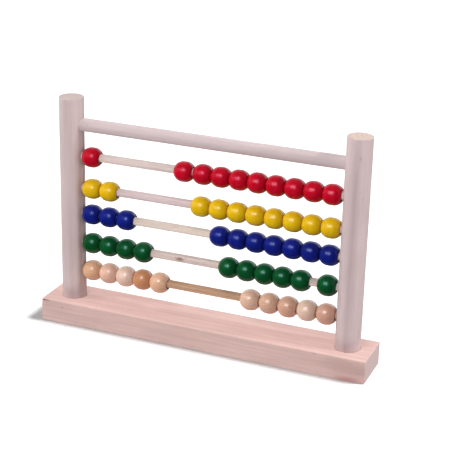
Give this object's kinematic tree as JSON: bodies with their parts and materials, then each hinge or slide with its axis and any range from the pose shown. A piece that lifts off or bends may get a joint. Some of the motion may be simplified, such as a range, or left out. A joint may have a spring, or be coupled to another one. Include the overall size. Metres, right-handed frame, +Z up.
{
  "type": "bead frame abacus",
  "caption": "Free-standing wooden counting frame: coloured beads slide on round rods held between two posts on a flat base block.",
  "frame": {"origin": "centre of the base block's underside, where it rests", "axes": "+X to the right along the rods, +Y to the back, +Z up along the posts"},
  "size_m": [0.3, 0.042, 0.2035],
  "materials": {
    "base_wood": "planed, sanded, unvarnished softwood, long grain along X",
    "post_wood": "turned, sanded, unvarnished dowel",
    "rail_wood": "turned, sanded, unvarnished dowel",
    "red_row_rod_wood": "turned, sanded, unvarnished dowel",
    "yellow_row_rod_wood": "turned, sanded, unvarnished dowel",
    "blue_row_rod_wood": "turned, sanded, unvarnished dowel",
    "green_row_rod_wood": "turned, sanded, unvarnished dowel with a knot",
    "natural_row_rod_wood": "turned, sanded, unvarnished darker dowel",
    "red_lacquer": "gloss lacquer on a turned wooden bead",
    "yellow_lacquer": "gloss lacquer on a turned wooden bead",
    "blue_lacquer": "gloss lacquer on a turned wooden bead",
    "green_lacquer": "gloss lacquer on a turned wooden bead",
    "natural_bead_wood": "clear gloss lacquer on a turned wooden bead"
  },
  "bodies": {
    "frame": {"base": "base_wood", "left_post": "post_wood", "right_post": "post_wood", "top_rail": "rail_wood", "red_rod": "red_row_rod_wood", "yellow_rod": "yellow_row_rod_wood", "blue_rod": "blue_row_rod_wood", "green_rod": "green_row_rod_wood", "natural_rod": "natural_row_rod_wood"},
    "red_bead_01": {"red_bead_01": "red_lacquer"},
    "red_bead_02": {"red_bead_02": "red_lacquer"},
    "red_bead_03": {"red_bead_03": "red_lacquer"},
    "red_bead_04": {"red_bead_04": "red_lacquer"},
    "red_bead_05": {"red_bead_05": "red_lacquer"},
    "red_bead_06": {"red_bead_06": "red_lacquer"},
    "red_bead_07": {"red_bead_07": "red_lacquer"},
    "red_bead_08": {"red_bead_08": "red_lacquer"},
    "red_bead_09": {"red_bead_09": "red_lacquer"},
    "red_bead_10": {"red_bead_10": "red_lacquer"},
    "yellow_bead_01": {"yellow_bead_01": "yellow_lacquer"},
    "yellow_bead_02": {"yellow_bead_02": "yellow_lacquer"},
    "yellow_bead_03": {"yellow_bead_03": "yellow_lacquer"},
    "yellow_bead_04": {"yellow_bead_04": "yellow_lacquer"},
    "yellow_bead_05": {"yellow_bead_05": "yellow_lacquer"},
    "yellow_bead_06": {"yellow_bead_06": "yellow_lacquer"},
    "yellow_bead_07": {"yellow_bead_07": "yellow_lacquer"},
    "yellow_bead_08": {"yellow_bead_08": "yellow_lacquer"},
    "yellow_bead_09": {"yellow_bead_09": "yellow_lacquer"},
    "yellow_bead_10": {"yellow_bead_10": "yellow_lacquer"},
    "blue_bead_01": {"blue_bead_01": "blue_lacquer"},
    "blue_bead_02": {"blue_bead_02": "blue_lacquer"},
    "blue_bead_03": {"blue_bead_03": "blue_lacquer"},
    "blue_bead_04": {"blue_bead_04": "blue_lacquer"},
    "blue_bead_05": {"blue_bead_05": "blue_lacquer"},
    "blue_bead_06": {"blue_bead_06": "blue_lacquer"},
    "blue_bead_07": {"blue_bead_07": "blue_lacquer"},
    "blue_bead_08": {"blue_bead_08": "blue_lacquer"},
    "blue_bead_09": {"blue_bead_09": "blue_lacquer"},
    "blue_bead_10": {"blue_bead_10": "blue_lacquer"},
    "green_bead_01": {"green_bead_01": "green_lacquer"},
    "green_bead_02": {"green_bead_02": "green_lacquer"},
    "green_bead_03": {"green_bead_03": "green_lacquer"},
    "green_bead_04": {"green_bead_04": "green_lacquer"},
    "green_bead_05": {"green_bead_05": "green_lacquer"},
    "green_bead_06": {"green_bead_06": "green_lacquer"},
    "green_bead_07": {"green_bead_07": "green_lacquer"},
    "green_bead_08": {"green_bead_08": "green_lacquer"},
    "green_bead_09": {"green_bead_09": "green_lacquer"},
    "green_bead_10": {"green_bead_10": "green_lacquer"},
    "natural_bead_01": {"natural_bead_01": "natural_bead_wood"},
    "natural_bead_02": {"natural_bead_02": "natural_bead_wood"},
    "natural_bead_03": {"natural_bead_03": "natural_bead_wood"},
    "natural_bead_04": {"natural_bead_04": "natural_bead_wood"},
    "natural_bead_05": {"natural_bead_05": "natural_bead_wood"},
    "natural_bead_06": {"natural_bead_06": "natural_bead_wood"},
    "natural_bead_07": {"natural_bead_07": "natural_bead_wood"},
    "natural_bead_08": {"natural_bead_08": "natural_bead_wood"},
    "natural_bead_09": {"natural_bead_09": "natural_bead_wood"},
    "natural_bead_10": {"natural_bead_10": "natural_bead_wood"}
  },
  "joints": [
    {"name": "red_bead_01_slide", "type": "slide", "parent": "frame", "child": "red_bead_01", "axis": [1, 0, 0], "range_m": [0, 0.0703]},
    {"name": "red_bead_02_slide", "type": "slide", "parent": "frame", "child": "red_bead_02", "axis": [1, 0, 0], "range_m": [-0.0703, 0]},
    {"name": "red_bead_03_slide", "type": "slide", "parent": "frame", "child": "red_bead_03", "axis": [1, 0, 0], "range_m": [-0.07135, 0]},
    {"name": "red_bead_04_slide", "type": "slide", "parent": "frame", "child": "red_bead_04", "axis": [1, 0, 0], "range_m": [-0.0714, 0]},
    {"name": "red_bead_05_slide", "type": "slide", "parent": "frame", "child": "red_bead_05", "axis": [1, 0, 0], "range_m": [-0.07145, 0]},
    {"name": "red_bead_06_slide", "type": "slide", "parent": "frame", "child": "red_bead_06", "axis": [1, 0, 0], "range_m": [-0.0715, 0]},
    {"name": "red_bead_07_slide", "type": "slide", "parent": "frame", "child": "red_bead_07", "axis": [1, 0, 0], "range_m": [-0.07155, 0]},
    {"name": "red_bead_08_slide", "type": "slide", "parent": "frame", "child": "red_bead_08", "axis": [1, 0, 0], "range_m": [-0.0716, 0]},
    {"name": "red_bead_09_slide", "type": "slide", "parent": "frame", "child": "red_bead_09", "axis": [1, 0, 0], "range_m": [-0.07165, 0]},
    {"name": "red_bead_10_slide", "type": "slide", "parent": "frame", "child": "red_bead_10", "axis": [1, 0, 0], "range_m": [-0.0717, 0]},
    {"name": "yellow_bead_01_slide", "type": "slide", "parent": "frame", "child": "yellow_bead_01", "axis": [1, 0, 0], "range_m": [0, 0.0701]},
    {"name": "yellow_bead_02_slide", "type": "slide", "parent": "frame", "child": "yellow_bead_02", "axis": [1, 0, 0], "range_m": [0, 0.0696]},
    {"name": "yellow_bead_03_slide", "type": "slide", "parent": "frame", "child": "yellow_bead_03", "axis": [1, 0, 0], "range_m": [-0.0696, 0]},
    {"name": "yellow_bead_04_slide", "type": "slide", "parent": "frame", "child": "yellow_bead_04", "axis": [1, 0, 0], "range_m": [-0.0699, 0]},
    {"name": "yellow_bead_05_slide", "type": "slide", "parent": "frame", "child": "yellow_bead_05", "axis": [1, 0, 0], "range_m": [-0.0702, 0]},
    {"name": "yellow_bead_06_slide", "type": "slide", "parent": "frame", "child": "yellow_bead_06", "axis": [1, 0, 0], "range_m": [-0.0705, 0]},
    {"name": "yellow_bead_07_slide", "type": "slide", "parent": "frame", "child": "yellow_bead_07", "axis": [1, 0, 0], "range_m": [-0.0708, 0]},
    {"name": "yellow_bead_08_slide", "type": "slide", "parent": "frame", "child": "yellow_bead_08", "axis": [1, 0, 0], "range_m": [-0.0711, 0]},
    {"name": "yellow_bead_09_slide", "type": "slide", "parent": "frame", "child": "yellow_bead_09", "axis": [1, 0, 0], "range_m": [-0.0714, 0]},
    {"name": "yellow_bead_10_slide", "type": "slide", "parent": "frame", "child": "yellow_bead_10", "axis": [1, 0, 0], "range_m": [-0.0717, 0]},
    {"name": "blue_bead_01_slide", "type": "slide", "parent": "frame", "child": "blue_bead_01", "axis": [1, 0, 0], "range_m": [0, 0.0722]},
    {"name": "blue_bead_02_slide", "type": "slide", "parent": "frame", "child": "blue_bead_02", "axis": [1, 0, 0], "range_m": [0, 0.0718]},
    {"name": "blue_bead_03_slide", "type": "slide", "parent": "frame", "child": "blue_bead_03", "axis": [1, 0, 0], "range_m": [0, 0.0714]},
    {"name": "blue_bead_04_slide", "type": "slide", "parent": "frame", "child": "blue_bead_04", "axis": [1, 0, 0], "range_m": [-0.0714, 0]},
    {"name": "blue_bead_05_slide", "type": "slide", "parent": "frame", "child": "blue_bead_05", "axis": [1, 0, 0], "range_m": [-0.07145, 0]},
    {"name": "blue_bead_06_slide", "type": "slide", "parent": "frame", "child": "blue_bead_06", "axis": [1, 0, 0], "range_m": [-0.0715, 0]},
    {"name": "blue_bead_07_slide", "type": "slide", "parent": "frame", "child": "blue_bead_07", "axis": [1, 0, 0], "range_m": [-0.07155, 0]},
    {"name": "blue_bead_08_slide", "type": "slide", "parent": "frame", "child": "blue_bead_08", "axis": [1, 0, 0], "range_m": [-0.0716, 0]},
    {"name": "blue_bead_09_slide", "type": "slide", "parent": "frame", "child": "blue_bead_09", "axis": [1, 0, 0], "range_m": [-0.07165, 0]},
    {"name": "blue_bead_10_slide", "type": "slide", "parent": "frame", "child": "blue_bead_10", "axis": [1, 0, 0], "range_m": [-0.0717, 0]},
    {"name": "green_bead_01_slide", "type": "slide", "parent": "frame", "child": "green_bead_01", "axis": [1, 0, 0], "range_m": [0, 0.06475]},
    {"name": "green_bead_02_slide", "type": "slide", "parent": "frame", "child": "green_bead_02", "axis": [1, 0, 0], "range_m": [0, 0.06435]},
    {"name": "green_bead_03_slide", "type": "slide", "parent": "frame", "child": "green_bead_03", "axis": [1, 0, 0], "range_m": [0, 0.06395]},
    {"name": "green_bead_04_slide", "type": "slide", "parent": "frame", "child": "green_bead_04", "axis": [1, 0, 0], "range_m": [0, 0.06355]},
    {"name": "green_bead_05_slide", "type": "slide", "parent": "frame", "child": "green_bead_05", "axis": [1, 0, 0], "range_m": [-0.06355, 0]},
    {"name": "green_bead_06_slide", "type": "slide", "parent": "frame", "child": "green_bead_06", "axis": [1, 0, 0], "range_m": [-0.0636, 0]},
    {"name": "green_bead_07_slide", "type": "slide", "parent": "frame", "child": "green_bead_07", "axis": [1, 0, 0], "range_m": [-0.06365, 0]},
    {"name": "green_bead_08_slide", "type": "slide", "parent": "frame", "child": "green_bead_08", "axis": [1, 0, 0], "range_m": [-0.0637, 0]},
    {"name": "green_bead_09_slide", "type": "slide", "parent": "frame", "child": "green_bead_09", "axis": [1, 0, 0], "range_m": [-0.06375, 0]},
    {"name": "green_bead_10_slide", "type": "slide", "parent": "frame", "child": "green_bead_10", "axis": [1, 0, 0], "range_m": [-0.0708, 0]},
    {"name": "natural_bead_01_slide", "type": "slide", "parent": "frame", "child": "natural_bead_01", "axis": [1, 0, 0], "range_m": [0, 0.0694]},
    {"name": "natural_bead_02_slide", "type": "slide", "parent": "frame", "child": "natural_bead_02", "axis": [1, 0, 0], "range_m": [0, 0.0692]},
    {"name": "natural_bead_03_slide", "type": "slide", "parent": "frame", "child": "natural_bead_03", "axis": [1, 0, 0], "range_m": [0, 0.069]},
    {"name": "natural_bead_04_slide", "type": "slide", "parent": "frame", "child": "natural_bead_04", "axis": [1, 0, 0], "range_m": [0, 0.0688]},
    {"name": "natural_bead_05_slide", "type": "slide", "parent": "frame", "child": "natural_bead_05", "axis": [1, 0, 0], "range_m": [0, 0.0686]},
    {"name": "natural_bead_06_slide", "type": "slide", "parent": "frame", "child": "natural_bead_06", "axis": [1, 0, 0], "range_m": [-0.0686, 0]},
    {"name": "natural_bead_07_slide", "type": "slide", "parent": "frame", "child": "natural_bead_07", "axis": [1, 0, 0], "range_m": [-0.0694, 0]},
    {"name": "natural_bead_08_slide", "type": "slide", "parent": "frame", "child": "natural_bead_08", "axis": [1, 0, 0], "range_m": [-0.0702, 0]},
    {"name": "natural_bead_09_slide", "type": "slide", "parent": "frame", "child": "natural_bead_09", "axis": [1, 0, 0], "range_m": [-0.071, 0]},
    {"name": "natural_bead_10_slide", "type": "slide", "parent": "frame", "child": "natural_bead_10", "axis": [1, 0, 0], "range_m": [-0.0718, 0]}
  ],
  "couplings": [
    {"joint": "red_bead_03_slide", "follows": "red_bead_02_slide", "ratio": 1.0149},
    {"joint": "red_bead_04_slide", "follows": "red_bead_02_slide", "ratio": 1.0156},
    {"joint": "red_bead_05_slide", "follows": "red_bead_02_slide", "ratio": 1.0164},
    {"joint": "red_bead_06_slide", "follows": "red_bead_02_slide", "ratio": 1.0171},
    {"joint": "red_bead_07_slide", "follows": "red_bead_02_slide", "ratio": 1.0178},
    {"joint": "red_bead_08_slide", "follows": "red_bead_02_slide", "ratio": 1.0185},
    {"joint": "red_bead_09_slide", "follows": "red_bead_02_slide", "ratio": 1.0192},
    {"joint": "red_bead_10_slide", "follows": "red_bead_02_slide", "ratio": 1.0199},
    {"joint": "yellow_bead_01_slide", "follows": "yellow_bead_02_slide", "ratio": 1.0072},
    {"joint": "yellow_bead_04_slide", "follows": "yellow_bead_03_slide", "ratio": 1.0043},
    {"joint": "yellow_bead_05_slide", "follows": "yellow_bead_03_slide", "ratio": 1.0086},
    {"joint": "yellow_bead_06_slide", "follows": "yellow_bead_03_slide", "ratio": 1.0129},
    {"joint": "yellow_bead_07_slide", "follows": "yellow_bead_03_slide", "ratio": 1.0172},
    {"joint": "yellow_bead_08_slide", "follows": "yellow_bead_03_slide", "ratio": 1.0216},
    {"joint": "yellow_bead_09_slide", "follows": "yellow_bead_03_slide", "ratio": 1.0259},
    {"joint": "yellow_bead_10_slide", "follows": "yellow_bead_03_slide", "ratio": 1.0302},
    {"joint": "blue_bead_01_slide", "follows": "blue_bead_03_slide", "ratio": 1.0112},
    {"joint": "blue_bead_02_slide", "follows": "blue_bead_03_slide", "ratio": 1.0056},
    {"joint": "blue_bead_05_slide", "follows": "blue_bead_04_slide", "ratio": 1.0007},
    {"joint": "blue_bead_06_slide", "follows": "blue_bead_04_slide", "ratio": 1.0014},
    {"joint": "blue_bead_07_slide", "follows": "blue_bead_04_slide", "ratio": 1.0021},
    {"joint": "blue_bead_08_slide", "follows": "blue_bead_04_slide", "ratio": 1.0028},
    {"joint": "blue_bead_09_slide", "follows": "blue_bead_04_slide", "ratio": 1.0035},
    {"joint": "blue_bead_10_slide", "follows": "blue_bead_04_slide", "ratio": 1.0042},
    {"joint": "green_bead_01_slide", "follows": "green_bead_04_slide", "ratio": 1.0189},
    {"joint": "green_bead_02_slide", "follows": "green_bead_04_slide", "ratio": 1.0126},
    {"joint": "green_bead_03_slide", "follows": "green_bead_04_slide", "ratio": 1.0063},
    {"joint": "green_bead_06_slide", "follows": "green_bead_05_slide", "ratio": 1.0008},
    {"joint": "green_bead_07_slide", "follows": "green_bead_05_slide", "ratio": 1.0016},
    {"joint": "green_bead_08_slide", "follows": "green_bead_05_slide", "ratio": 1.0024},
    {"joint": "green_bead_09_slide", "follows": "green_bead_05_slide", "ratio": 1.0031},
    {"joint": "green_bead_10_slide", "follows": "green_bead_05_slide", "ratio": 1.1141},
    {"joint": "natural_bead_01_slide", "follows": "natural_bead_05_slide", "ratio": 1.0117},
    {"joint": "natural_bead_02_slide", "follows": "natural_bead_05_slide", "ratio": 1.0087},
    {"joint": "natural_bead_03_slide", "follows": "natural_bead_05_slide", "ratio": 1.0058},
    {"joint": "natural_bead_04_slide", "follows": "natural_bead_05_slide", "ratio": 1.0029},
    {"joint": "natural_bead_07_slide", "follows": "natural_bead_06_slide", "ratio": 1.0117},
    {"joint": "natural_bead_08_slide", "follows": "natural_bead_06_slide", "ratio": 1.0233},
    {"joint": "natural_bead_09_slide", "follows": "natural_bead_06_slide", "ratio": 1.035},
    {"joint": "natural_bead_10_slide", "follows": "natural_bead_06_slide", "ratio": 1.0466}
  ]
}
